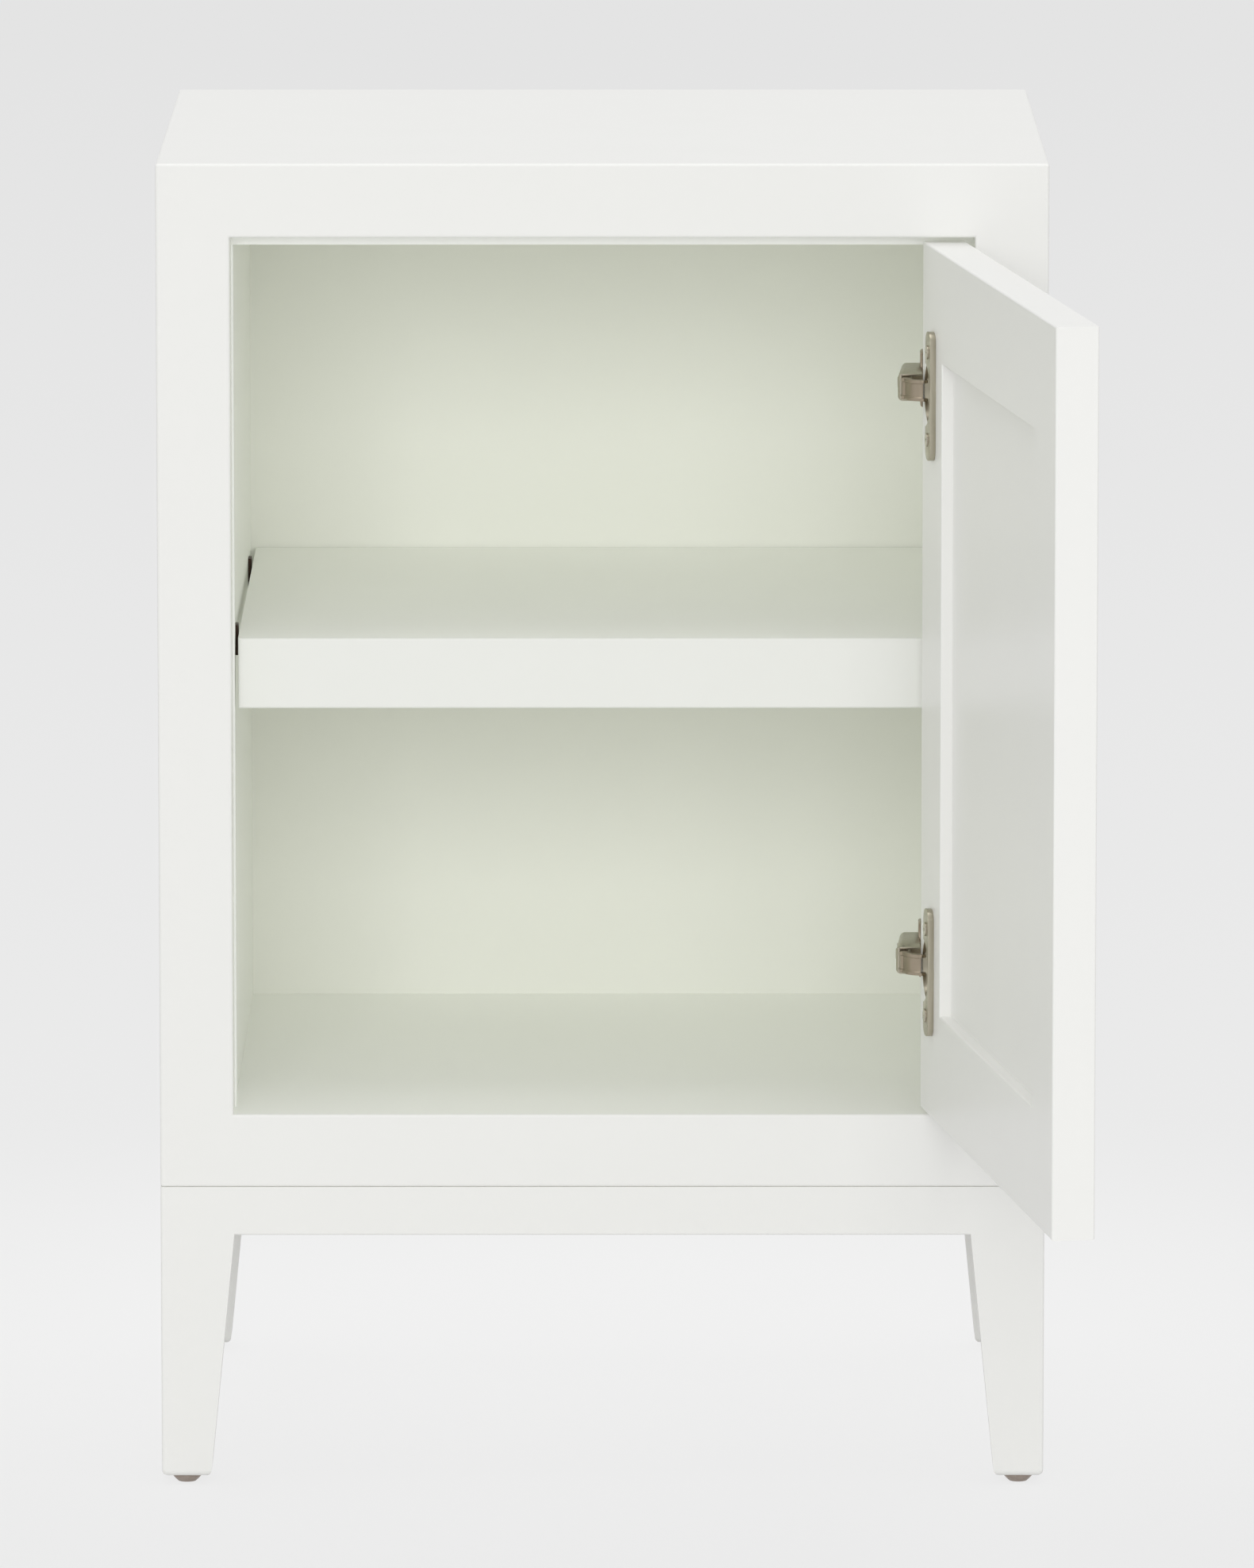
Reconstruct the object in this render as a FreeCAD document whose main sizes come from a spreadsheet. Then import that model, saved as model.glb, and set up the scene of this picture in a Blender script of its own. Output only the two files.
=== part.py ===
import FreeCAD, Part
import os

import Sketcher

# A small white lacquered side table: a mitred case with one inset door, on a base of rails and
# four tapered legs. Millimetres, +Z up, the front faces -Y. The origin is on the floor under
# the centre of the case. The door is drawn shut and then turned open about its hinges.

os.makedirs("parts", exist_ok=True)
doc = FreeCAD.newDocument("side_table")
sheet = doc.addObject("Spreadsheet::Sheet", "Sizes")


class Size:
    """A length or an angle, with the sheet expression that gives it."""

    def __init__(self, value, text):
        self.value = value
        self.text = text

    def joined(self, other, sign, value):
        return Size(value, "(%s %s %s)" % (self.text, sign, as_size(other).text))

    def __add__(self, other):
        return self.joined(other, "+", self.value + as_size(other).value)

    def __sub__(self, other):
        return self.joined(other, "-", self.value - as_size(other).value)

    def __mul__(self, other):
        return self.joined(other, "*", self.value * as_size(other).value)

    def __truediv__(self, other):
        return self.joined(other, "/", self.value / as_size(other).value)

    def __neg__(self):
        return Size(-self.value, "(0 - %s)" % self.text)

    def __rmul__(self, other):
        return as_size(other) * self


def as_size(item):
    return item if isinstance(item, Size) else Size(item, "(0 - %s)" % abs(item) if item < 0 else str(item))


# Case
case_width = 457.0  # outer width
case_depth = 381.0  # outer depth
case_height = 531.0  # outer height of the case
case_wall = 38.0  # case boards
case_round = 1.5  # easing of the case edges
back_thickness = 6.0  # back panel
back_recess = 3.0  # back panel in from the rear edges
back_lap = 10.0  # rebate that holds the back panel
back_play = 0.2  # back panel to the sides of its rebate
stop_depth = 12.0  # door stops, front to back
stop_drop = 6.0  # top door stop below the ceiling
stop_proud = 1.0  # side door stop off the wall
stop_gap = 1.5  # shut door to its stops

# Base
glide_height = 4.5  # part of a glide below the leg
glide_radius = 7.75  # glide head
glide_slope = 2.2  # chamfer under the glide head
stem_radius = 2.2  # glide stem
stem_length = 18.0  # glide stem inside the leg
base_height = 152.5  # leg, from its foot to the case
leg_width = 38.0  # leg at the rails
leg_round = 1.5  # easing of the outer leg edges
foot_width = 25.4  # leg at its foot
foot_round = 3.2  # rounding of the foot
rail_height = 25.3  # base rail
rail_thickness = 20.0  # base rail
rail_round = 1.0  # easing of the lower rail edges
tenon_length = 12.0  # tenon on a rail end
tenon_thickness = 9.0  # tenon on a rail end
tenon_shoulder = 5.0  # rail below its tenon
block_reach = 30.0  # corner block along a rail
block_height = 19.0  # corner block

# Door
door_thickness = 21.5  # door
door_side_gap = 2.25  # door to the case, each side
door_end_gap = 2.5  # door to the case, top and bottom
door_round = 1.2  # easing of the outer door edges
frame_round = 0.8  # easing of the frame round the panel
stile_width = 57.0  # door frame members
door_recess = 6.0  # frame face to panel face
groove_depth = 10.0  # groove that holds the panel, and tongue of a door rail
groove_play = 0.3  # panel or tenon to the bottom of its groove or mortise
open_angle = 98.5  # door as placed, degrees from shut

# Shelf
shelf_height = 232.7  # case floor to the ledges of the shelf supports
board_thickness = 12.0  # shelf board
edge_height = 36.6  # front edge of the shelf
edge_thickness = 20.0  # front edge of the shelf
shelf_round = 1.2  # easing of the shelf front
shelf_side_gap = 2.7  # shelf to the case sides
shelf_door_gap = 2.5  # shut door to the shelf
shelf_back_gap = 1.0  # shelf to the back panel
shelf_rest_gap = 0.3  # shelf to its supports
support_inset = 42.0  # shelf front to the first support
support_spacing = 254.0  # front supports to back supports
support_width = 12.0  # shelf support
support_sheet = 1.8  # shelf support
support_height = 13.9  # upright of the shelf support above its ledge
support_ledge = 11.0  # ledge of the shelf support
support_pin_radius = 2.5  # pin of the shelf support
support_pin_length = 9.0  # pin of the shelf support

# Hinges
hinge_inset = 76.0  # door end to the hinge centre
swing_in = 8.5  # swing axis from the case side
swing_back = 4.4  # swing axis behind the case front
cup_radius = 17.5  # hinge cup
cup_depth = 12.5  # hinge cup
cup_wall = 1.0  # hinge cup
cup_edge = 5.0  # hinge cup from the door edge
flange_length = 66.0  # cup flange, up and down
flange_start = 2.5  # cup centre to the near edge of the flange
flange_width = 14.5  # cup flange
flange_thickness = 3.0  # cup flange
flange_round = 6.0  # flange corners
cup_screw_line = 9.5  # cup centre to its screws
cup_screw_spread = 22.5  # cup centre to each screw, up and down
arm_stand = 39.0  # case side to the outer face of the arm
arm_thickness = 12.5  # arm, outer face to its open side
arm_height = 14.0  # arm, up and down
arm_sheet = 1.2  # arm
arm_front = 12.5  # case front to the arm
arm_length = 47.5  # arm, front to back
arm_round = 3.0  # corners of the arm
arm_play = 0.15  # arm to the tongue of its mounting plate
plate_sheet = 2.2  # mounting plate on the case side
plate_width = 18.0  # mounting plate, front to back
plate_height = 52.0  # mounting plate, up and down
plate_round = 5.0  # corners of the mounting plate
saddle_height = 28.4  # saddle under the arm
saddle_width = 15.0  # saddle under the arm, front to back
saddle_sheet = 1.2  # saddle under the arm
tongue_length = 28.0  # tongue of the mounting plate inside the arm
plate_screw_spread = 22.2  # plate centre to each screw
adjuster_radius = 2.8  # adjusting screw head
adjuster_shank = 1.6  # adjusting screw shank
adjuster_proud = 0.9  # adjusting screw head above the arm
adjuster_length = 8.0  # adjusting screw shank
adjuster_pitch = 17.0  # between the two adjusting screws
pivot_radius = 1.1  # link rivets
outer_pivot_in = 35.0  # case side to the outer link pivot
outer_pivot_back = 16.0  # case front to the outer link pivot
outer_reach = 19.57  # outer link, pivot to tip
outer_bow = 3.84  # outer link, bow off its chord
outer_width = 3.2  # outer link cheeks
outer_eye = 2.0  # outer link eye on the arm
outer_tip_eye = 2.2  # outer link eye at the cup
outer_height = 10.8  # outer link, up and down
outer_cheek = 1.4  # outer link cheeks
outer_web = 1.0  # web between the outer link cheeks
outer_angle = -62.7  # chord of the outer link, door open, degrees
inner_pivot_in = 32.5  # case side to the inner link pivot
inner_pivot_back = 18.5  # case front to the inner link pivot
inner_reach = 18.25  # inner link, pivot to tip
inner_bow = 1.87  # inner link, bow off its chord
inner_width = 1.8  # inner link
inner_eye = 1.9  # inner link eye
inner_height = 7.2  # inner link, up and down
inner_angle = -75.0  # chord of the inner link, door open, degrees

# Screws and fits
screw_radius = 1.9  # wood screw shank
screw_head_radius = 3.5  # wood screw head
screw_head_height = 1.6  # wood screw head
screw_length = 11.0  # wood screw under its plate
fit_clearance = 0.05  # radial play of pins and screws
overrun = 3.0  # cuts past the face that they open


def given(sizes):
    """Puts each driving dimension into a cell of the sheet, under its own name."""
    for row, (alias, value) in enumerate(sizes.items(), start=1):
        sheet.set("A%d" % row, alias.replace("_", " "))
        sheet.set("B%d" % row, str(value))
        sheet.setAlias("B%d" % row, alias)
    doc.recompute()
    return {alias: Size(value, "Sizes." + alias) for alias, value in sizes.items()}


globals().update(given({name: value for name, value in globals().items() if isinstance(value, float)}))

# How far along its chord each hinge link bows most, and where the outer link's web starts
OUTER_BOW_SHARE = 0.66
INNER_BOW_SHARE = 0.67
WEB_START_SHARE = 0.2

# Places that follow
half_width = case_width / 2
front = -(case_depth / 2)
rear = case_depth / 2
case_bottom = glide_height + base_height
case_top = case_bottom + case_height
inner_half = half_width - case_wall
floor_level = case_bottom + case_wall
ceiling = case_top - case_wall
back_face = rear - back_recess - back_thickness
rail_under = case_bottom - rail_height
door_edge = inner_half - door_side_gap
door_low = floor_level + door_end_gap
door_high = ceiling - door_end_gap
door_back = front + door_thickness
panel_front = front + door_recess
panel_back = door_back - door_recess
frame_edge = door_edge - stile_width
frame_low = door_low + stile_width
frame_high = door_high - stile_width
stop_face = door_back + stop_gap
shelf_front = door_back + shelf_door_gap
shelf_end = inner_half - shelf_side_gap
shelf_rear = back_face - shelf_back_gap
ledge_top = floor_level + shelf_height
shelf_under = ledge_top + shelf_rest_gap
shelf_top = shelf_under + board_thickness
swing_x = inner_half - swing_in
swing_y = front + swing_back
cup_x = door_edge - cup_edge - cup_radius
HINGES = (("upper", door_high - hinge_inset), ("lower", door_low + hinge_inset))
CORNERS = (("front_left", -1, -1), ("front_right", 1, -1), ("back_left", -1, 1), ("back_right", 1, 1))

TURNS = {
    "+x": FreeCAD.Rotation(FreeCAD.Vector(0, 1, 0), 90),
    "-x": FreeCAD.Rotation(FreeCAD.Vector(0, 1, 0), -90),
    "+y": FreeCAD.Rotation(FreeCAD.Vector(1, 0, 0), -90),
    "-y": FreeCAD.Rotation(FreeCAD.Vector(1, 0, 0), 90),
    "+z": FreeCAD.Rotation(),
    "-z": FreeCAD.Rotation(FreeCAD.Vector(1, 0, 0), 180),
}


def place_at(item, spot):
    for axis, size in zip("xyz", spot):
        item.setExpression("Placement.Base." + axis, as_size(size).text)


def box(name, low, high):
    """A block between two corners."""
    item = doc.addObject("Part::Box", name)
    for side, start, end in zip(("Length", "Width", "Height"), low, high):
        item.setExpression(side, (as_size(end) - start).text)
    place_at(item, low)
    return item


def rod(name, start, way, radius, length):
    """A round bar from a point, along one of the axes."""
    item = doc.addObject("Part::Cylinder", name)
    item.setExpression("Radius", radius.text)
    item.setExpression("Height", length.text)
    item.Placement = FreeCAD.Placement(FreeCAD.Vector(), TURNS[way])
    place_at(item, start)
    return item


def fuse(name, items):
    joined = doc.addObject("Part::MultiFuse", name)
    joined.Shapes = items
    joined.Refine = True
    return joined


def group(name, items):
    """Separate solids under one name."""
    gathered = doc.addObject("Part::Compound", name)
    gathered.Links = items
    return gathered


def cut(name, base, tools):
    carved = doc.addObject("Part::Cut", name)
    carved.Base = base
    carved.Tool = tools[0] if len(tools) == 1 else group(name + "_tools", tools)
    return carved


def common(name, base, tool):
    shared = doc.addObject("Part::Common", name)
    shared.Base = base
    shared.Tool = tool
    return shared


def edges_in(shape, planes):
    """Names of the edges that lie in all the given planes."""
    slack = 1e-4
    found = []
    for index, edge in enumerate(shape.Edges, start=1):
        bound = edge.BoundBox
        spans = {"x": (bound.XMin, bound.XMax), "y": (bound.YMin, bound.YMax), "z": (bound.ZMin, bound.ZMax)}
        if all(abs(end - as_size(at).value) < slack for axis, at in planes.items() for end in spans[axis]):
            found.append("Edge%d" % index)
    return found


def picked(shape, picks):
    names = []
    for planes in picks:
        names += [edge for edge in edges_in(shape, planes) if edge not in names]
    if not names:
        raise RuntimeError("no edge to round")
    return names


def soften(name, base, radius, picks, kind="Part::Fillet"):
    """Rounds edges of a piece made of primitives."""
    doc.recompute()
    rounded = doc.addObject(kind, name)
    rounded.Base = base
    indexes = [int(edge[len("Edge"):]) for edge in picked(base.Shape, picks)]
    rounded.Edges = [(index, radius.value, radius.value) for index in indexes]
    return rounded


def bevel(name, base, size, picks):
    """Cuts edges of a piece made of primitives at 45 degrees."""
    return soften(name, base, size, picks, "Part::Chamfer")


def new_body(name):
    return doc.addObject("PartDesign::Body", name)


def outline(body, name, role, corners, lift):
    """A closed sketch on one of the body's own planes, each corner bound to the sheet."""
    sketch = body.newObject("Sketcher::SketchObject", name)
    sketch.AttachmentSupport = (next(item for item in body.Origin.OriginFeatures if item.Role == role), [""])
    sketch.MapMode = "FlatFace"
    sketch.setExpression("AttachmentOffset.Base.z", lift.text)
    spots = [FreeCAD.Vector(across.value, along.value, 0) for across, along in corners]
    count = len(spots)
    for index in range(count):
        sketch.addGeometry(Part.LineSegment(spots[index], spots[(index + 1) % count]), False)
    for index in range(count):
        sketch.addConstraint(Sketcher.Constraint("Coincident", index, 2, (index + 1) % count, 1))
    for index, corner in enumerate(corners):
        for kind, size in zip(("DistanceX", "DistanceY"), corner):
            made = sketch.addConstraint(Sketcher.Constraint(kind, -1, 1, index, 1, size.value))
            sketch.setExpression("Constraints[%d]" % made, size.text)
    return sketch


def rectangle(body, name, role, low, high, lift):
    return outline(body, name, role, [low, (high[0], low[1]), high, (low[0], high[1])], lift)


def pad(body, sketch, length):
    feature = body.newObject("PartDesign::Pad", sketch.Name + "_pad")
    feature.Profile = sketch
    feature.setExpression("Length", length.text)
    doc.recompute()
    return feature


def pocket(body, sketch, length, backwards=False):
    before = body.Shape.Volume
    feature = body.newObject("PartDesign::Pocket", sketch.Name + "_pocket")
    feature.Profile = sketch
    feature.setExpression("Length", length.text)
    feature.Reversed = backwards
    doc.recompute()
    if not body.Shape.Volume < before:
        raise RuntimeError(sketch.Name + " cuts nothing")
    return feature


def fillet(body, name, radius, picks):
    """Rounds the edges of a body that lie in the planes that each pick names."""
    base = body.Tip
    feature = body.newObject("PartDesign::Fillet", name)
    feature.Base = (base, picked(base.Shape, picks))
    feature.setExpression("Radius", radius.text)
    doc.recompute()
    return feature


nodes = []


def node(item, label):
    """Names a finished piece, which is also the name of its file."""
    item.Label = label
    nodes.append(item)
    return item


# Back panel
node(box("back_board", (-(inner_half + back_lap - back_play), back_face, floor_level - back_lap + back_play),
         (inner_half + back_lap - back_play, back_face + back_thickness, ceiling + back_lap - back_play)),
     "back_panel")

# Screws and pins that go into the right and left case boards
support_z = ledge_top + support_height / 2
SUPPORTS = [(name + side, sign, y) for name, y in (("front_", shelf_front + support_inset),
                                                  ("back_", shelf_front + support_inset + support_spacing))
            for side, sign in (("left", -1), ("right", 1))]
support_holes = [rod("support_hole_" + name, (sign * (inner_half - overrun), y, support_z),
                     "+x" if sign > 0 else "-x", support_pin_radius + fit_clearance,
                     support_pin_length + overrun) for name, sign, y in SUPPORTS]
plate_rear = front + arm_front + arm_length
plate_middle = plate_rear - plate_width / 2
plate_screws, plate_holes = [], []
for name, z in HINGES:
    for side in (-1, 1):
        tag = "%s_%s" % (name, "low" if side < 0 else "high")
        spot = (inner_half - plate_sheet, plate_middle, z + side * plate_screw_spread)
        shank = rod("plate_shank_" + tag, spot, "+x", screw_radius, plate_sheet + screw_length)
        head = rod("plate_head_" + tag, spot, "-x", screw_head_radius, screw_head_height)
        plate_screws.append(fuse("plate_screw_" + tag, [shank, head]))
        plate_holes.append(rod("plate_hole_" + tag, (inner_half - plate_sheet - overrun, plate_middle, spot[2]),
                               "+x", screw_radius + fit_clearance, plate_sheet + screw_length + overrun))


# Case: one eased block, hollowed and rebated, then parted along its mitres
def mitre_prism(name, corners):
    body = new_body(name)
    pad(body, outline(body, name + "_outline", "XZ_Plane", corners, -(rear + overrun)), case_depth + overrun * 2)
    return body


case_block = new_body("case_block")
pad(case_block, rectangle(case_block, "case_outer", "XZ_Plane", (-half_width, case_bottom),
                          (half_width, case_top), -rear), case_depth)
fillet(case_block, "case_long_edges", case_round,
       [{"x": x, "z": z} for x in (-half_width, half_width) for z in (case_bottom, case_top)])
pocket(case_block, rectangle(case_block, "case_hollow", "XZ_Plane", (-inner_half, floor_level),
                             (inner_half, ceiling), -front), case_depth)
pocket(case_block, rectangle(case_block, "case_rebate", "XZ_Plane",
                             (-(inner_half + back_lap), floor_level - back_lap),
                             (inner_half + back_lap, ceiling + back_lap), -rear),
       back_recess + back_thickness, True)
fillet(case_block, "case_rim_edges", case_round, [{"y": front}, {"y": rear}])
out_x, out_top, out_low = half_width + overrun, case_top + overrun, case_bottom - overrun
case_joints = {
    "top": [(-inner_half, ceiling), (inner_half, ceiling), (out_x, out_top), (-out_x, out_top)],
    "bottom": [(-out_x, out_low), (out_x, out_low), (inner_half, floor_level), (-inner_half, floor_level)],
    "left_side": [(-out_x, out_low), (-inner_half, floor_level), (-inner_half, ceiling), (-out_x, out_top)],
    "right_side": [(out_x, out_low), (out_x, out_top), (inner_half, ceiling), (inner_half, floor_level)],
}
case_tools = {
    "top": [],
    "bottom": [],
    "left_side": [hole for hole, (_, sign, _) in zip(support_holes, SUPPORTS) if sign < 0],
    "right_side": [hole for hole, (_, sign, _) in zip(support_holes, SUPPORTS) if sign > 0] + plate_holes,
}
for name, corners in case_joints.items():
    board = common("case_%s_board" % name, case_block, mitre_prism("mitre_" + name, corners))
    if case_tools[name]:
        board = cut("case_%s_cut" % name, board, case_tools[name])
    node(board, "case_" + name)

# Door stops
node(box("top_stop", (-inner_half, stop_face, ceiling - stop_drop), (inner_half, stop_face + stop_depth, ceiling)),
     "top_door_stop")
node(box("side_stop", (-inner_half, stop_face, floor_level),
         (-(inner_half - stop_proud), stop_face + stop_depth, ceiling - stop_drop)), "latch_side_door_stop")

# Base rails with tenons, and the mortises that take them
tenon_start = (rail_thickness - tenon_thickness) / 2
tenon_low = rail_under + tenon_shoulder


def base_rail(name, along_x, sign):
    """One rail between two legs, its outer face flush with them."""
    outer = half_width if not along_x else rear
    span = (half_width if along_x else rear) - leg_width

    def corner(run, across, z):
        return (run, across, z) if along_x else (across, run, z)

    near, far = sorted((sign * outer, sign * (outer - rail_thickness)), key=lambda size: size.value)
    low_tenon, high_tenon = sorted((sign * (outer - tenon_start), sign * (outer - tenon_start - tenon_thickness)),
                                   key=lambda size: size.value)
    rail = box(name + "_bar", corner(-span, near, rail_under), corner(span, far, case_bottom))
    tenons = box(name + "_tenons", corner(-(span + tenon_length), low_tenon, tenon_low),
                 corner(span + tenon_length, high_tenon, case_bottom))
    mortise = box(name + "_mortises", corner(-(span + tenon_length + groove_play), low_tenon, tenon_low),
                  corner(span + tenon_length + groove_play, high_tenon, case_bottom + overrun))
    axis = "y" if along_x else "x"
    eased = soften(name + "_eased", rail, rail_round,
                   [{"z": rail_under, axis: near}, {"z": rail_under, axis: far}])
    node(fuse(name + "_whole", [eased, tenons]), name)
    return mortise


mortises = [base_rail("base_front_rail", True, -1), base_rail("base_back_rail", True, 1),
            base_rail("base_left_rail", False, -1), base_rail("base_right_rail", False, 1)]

# Legs: square at the rails, their inner faces cut back to the foot
glides, blocks = [], []
for name, sx, sy in CORNERS:
    outer_x, inner_x, foot_x = (sx * (half_width - size) for size in (0, leg_width, foot_width))
    outer_y, inner_y, foot_y = (sy * (rear - size) for size in (0, leg_width, foot_width))
    low_x, high_x = sorted((outer_x, inner_x), key=lambda size: size.value)
    low_y, high_y = sorted((outer_y, inner_y), key=lambda size: size.value)
    leg = new_body("leg_%s_body" % name)
    pad(leg, rectangle(leg, "leg_%s_square" % name, "XY_Plane", (low_x, low_y), (high_x, high_y), glide_height),
        base_height)
    past_x, past_y = inner_x - sx * overrun, inner_y - sy * overrun
    pocket(leg, outline(leg, "leg_%s_taper_x" % name, "XZ_Plane",
                        [(past_x, rail_under), (inner_x, rail_under), (foot_x, glide_height),
                         (past_x, glide_height)], -(low_y - overrun)), leg_width + overrun * 2)
    pocket(leg, outline(leg, "leg_%s_taper_y" % name, "YZ_Plane",
                        [(past_y, rail_under), (inner_y, rail_under), (foot_y, glide_height),
                         (past_y, glide_height)], high_x + overrun), leg_width + overrun * 2)
    fillet(leg, "leg_%s_easing" % name, leg_round, [{"x": outer_x, "y": outer_y}])
    fillet(leg, "leg_%s_foot" % name, foot_round, [{"z": glide_height}])
    centre = (sx * (half_width - foot_width / 2), sy * (rear - foot_width / 2))
    socket = rod("glide_socket_" + name, centre + (glide_height - overrun,), "+z",
                 stem_radius + fit_clearance, stem_length + overrun)
    node(cut("leg_%s_cut" % name, leg, [socket] + mortises), "leg_" + name)
    head = rod("glide_head_" + name, centre + (0,), "+z", glide_radius, glide_height)
    sloped = bevel("glide_bevel_" + name, head, glide_slope, [{"z": 0}])
    stem = rod("glide_stem_" + name, centre + (glide_height,), "+z", stem_radius, stem_length)
    glides.append(fuse("glide_" + name, [sloped, stem]))
    rail_x, rail_y = sx * (half_width - rail_thickness), sy * (rear - rail_thickness)
    block = new_body("block_" + name)
    pad(block, outline(block, "block_%s_outline" % name, "XY_Plane",
                       [(inner_x - sx * block_reach, rail_y), (inner_x, rail_y), (inner_x, inner_y),
                        (rail_x, inner_y), (rail_x, inner_y - sy * block_reach)], case_bottom - block_height),
        block_height)
    blocks.append(block)
node(group("glide_group", glides), "leg_glides")
node(group("block_group", blocks), "base_corner_blocks")

# Shelf and its supports
node(box("shelf_plain", (-shelf_end, shelf_front + edge_thickness, shelf_under), (shelf_end, shelf_rear, shelf_top)),
     "shelf_board")
edge_bar = box("shelf_edge_bar", (-shelf_end, shelf_front, shelf_top - edge_height),
               (shelf_end, shelf_front + edge_thickness, shelf_top))
node(soften("shelf_edge_eased", edge_bar, shelf_round, [{"y": shelf_front}]), "shelf_front_edge")
for name, sign, y in SUPPORTS:
    wall_x = sign * inner_half
    inner_x = sign * (inner_half - support_sheet)
    tip_x = sign * (inner_half - support_sheet - support_ledge)
    near_x, far_x = sorted((wall_x, tip_x), key=lambda size: size.value)
    low_x, high_x = sorted((wall_x, inner_x), key=lambda size: size.value)
    y_low, y_high = y - support_width / 2, y + support_width / 2
    ledge = box("support_ledge_" + name, (near_x, y_low, ledge_top - support_sheet), (far_x, y_high, ledge_top))
    upright = box("support_upright_" + name, (low_x, y_low, ledge_top), (high_x, y_high, ledge_top + support_height))
    pin = rod("support_pin_" + name, (wall_x, y, support_z), "+x" if sign > 0 else "-x",
              support_pin_radius, support_pin_length)
    node(fuse("support_" + name, [ledge, upright, pin]), "shelf_support_" + name)

# Door: one eased frame with its panel groove, parted into stiles and rails with tongues
open_turn = FreeCAD.Placement(FreeCAD.Vector(), FreeCAD.Rotation(FreeCAD.Vector(0, 0, 1), open_angle.value),
                              FreeCAD.Vector(swing_x.value, swing_y.value, 0))


def door_node(item, label):
    """Turns a piece of the door from shut to open about the swing axis."""
    doc.recompute()
    turned = doc.addObject("Part::Feature", label + "_open")
    turned.Shape = item.Shape
    turned.Placement = open_turn.multiply(item.Placement)
    return node(turned, label)


door_block = new_body("door_block")
pad(door_block, rectangle(door_block, "door_outer", "XZ_Plane", (-door_edge, door_low), (door_edge, door_high),
                          -door_back), door_thickness)
pocket(door_block, rectangle(door_block, "door_opening", "XZ_Plane", (-frame_edge, frame_low),
                             (frame_edge, frame_high), -front), door_thickness)
faces = (front, door_back)
fillet(door_block, "door_outer_easing", door_round,
       [{"x": x, "y": y} for x in (-door_edge, door_edge) for y in faces]
       + [{"z": z, "y": y} for z in (door_low, door_high) for y in faces])
fillet(door_block, "door_inner_easing", frame_round,
       [{"x": x, "y": y} for x in (-frame_edge, frame_edge) for y in faces]
       + [{"z": z, "y": y} for z in (frame_low, frame_high) for y in faces])
groove_x = frame_edge + groove_depth
groove = box("door_groove", (-groove_x, panel_front, frame_low - groove_depth),
             (groove_x, panel_back, frame_high + groove_depth))
door_frame = cut("door_frame", door_block, [groove])
rail_tools = {}
for name, low, high in (("top", frame_high, door_high), ("bottom", door_low, frame_low)):
    middle = box("door_%s_rail_middle" % name, (-frame_edge, front, low), (frame_edge, door_back, high))
    tongue_low = low + groove_depth if name == "top" else low + door_round
    tongue_high = high - door_round if name == "top" else high - groove_depth
    tongue = box("door_%s_rail_tongue" % name, (-groove_x, panel_front, tongue_low),
                 (groove_x, panel_back, tongue_high))
    rail_tools[name] = fuse("door_%s_rail_tool" % name, [middle, tongue])
stiles = cut("door_stiles", door_frame, list(rail_tools.values()))
cup_bores, cup_screw_holes, cup_screws = [], [], []
for name, z in HINGES:
    cup_bores.append(rod("cup_bore_" + name, (cup_x, door_back + overrun, z), "-y",
                         cup_radius + fit_clearance, cup_depth + overrun))
    for side in (-1, 1):
        tag = "%s_%s" % (name, "low" if side < 0 else "high")
        spot = (cup_x - cup_screw_line, door_back + flange_thickness, z + side * cup_screw_spread)
        cup_screw_holes.append(rod("cup_screw_hole_" + tag, (spot[0], spot[1] + overrun, spot[2]), "-y",
                                   screw_radius + fit_clearance, flange_thickness + screw_length + overrun))
        shank = rod("cup_shank_" + tag, spot, "-y", screw_radius, flange_thickness + screw_length)
        head = rod("cup_head_" + tag, spot, "+y", screw_head_radius, screw_head_height)
        cup_screws.append(fuse("cup_screw_" + tag, [shank, head]))
for name, sign in (("hinge", 1), ("latch", -1)):
    low_x, high_x = sorted((sign * frame_edge, sign * door_edge), key=lambda size: size.value)
    half = box("door_%s_side" % name, (low_x, front, door_low), (high_x, door_back, door_high))
    stile = common("door_%s_stile_plain" % name, stiles, half)
    if name == "hinge":
        stile = cut("door_hinge_stile_bored", stile, cup_bores + cup_screw_holes)
    door_node(stile, "door_%s_stile" % name)
for name, tool in rail_tools.items():
    door_node(common("door_%s_rail_whole" % name, door_frame, tool), "door_%s_rail" % name)
panel_x = groove_x - groove_play
door_node(box("door_infill", (-panel_x, panel_front, frame_low - groove_depth + groove_play),
              (panel_x, panel_back, frame_high + groove_depth - groove_play)), "door_panel")
door_node(group("cup_screw_group", cup_screws), "cup_screws")

# Hinge cups
for name, z in HINGES:
    shell = rod("cup_shell_" + name, (cup_x, door_back, z), "-y", cup_radius, cup_depth)
    flange_low = (cup_x - flange_start - flange_width, door_back, z - flange_length / 2)
    flange_high = (cup_x - flange_start, door_back + flange_thickness, z + flange_length / 2)
    plain = box("flange_plain_" + name, flange_low, flange_high)
    rounded = soften("flange_round_" + name, plain, flange_round,
                     [{"x": x, "z": end} for x in (flange_low[0], flange_high[0])
                      for end in (flange_low[2], flange_high[2])])
    hollow = rod("cup_hollow_" + name, (cup_x, door_back + flange_thickness + overrun, z), "-y",
                 cup_radius - cup_wall, flange_thickness + overrun + cup_depth - cup_wall)
    whole = fuse("cup_whole_" + name, [shell, rounded])
    door_node(cut("cup_cut_" + name, whole, [hollow] + cup_screw_holes), name + "_hinge_cup")


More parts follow.
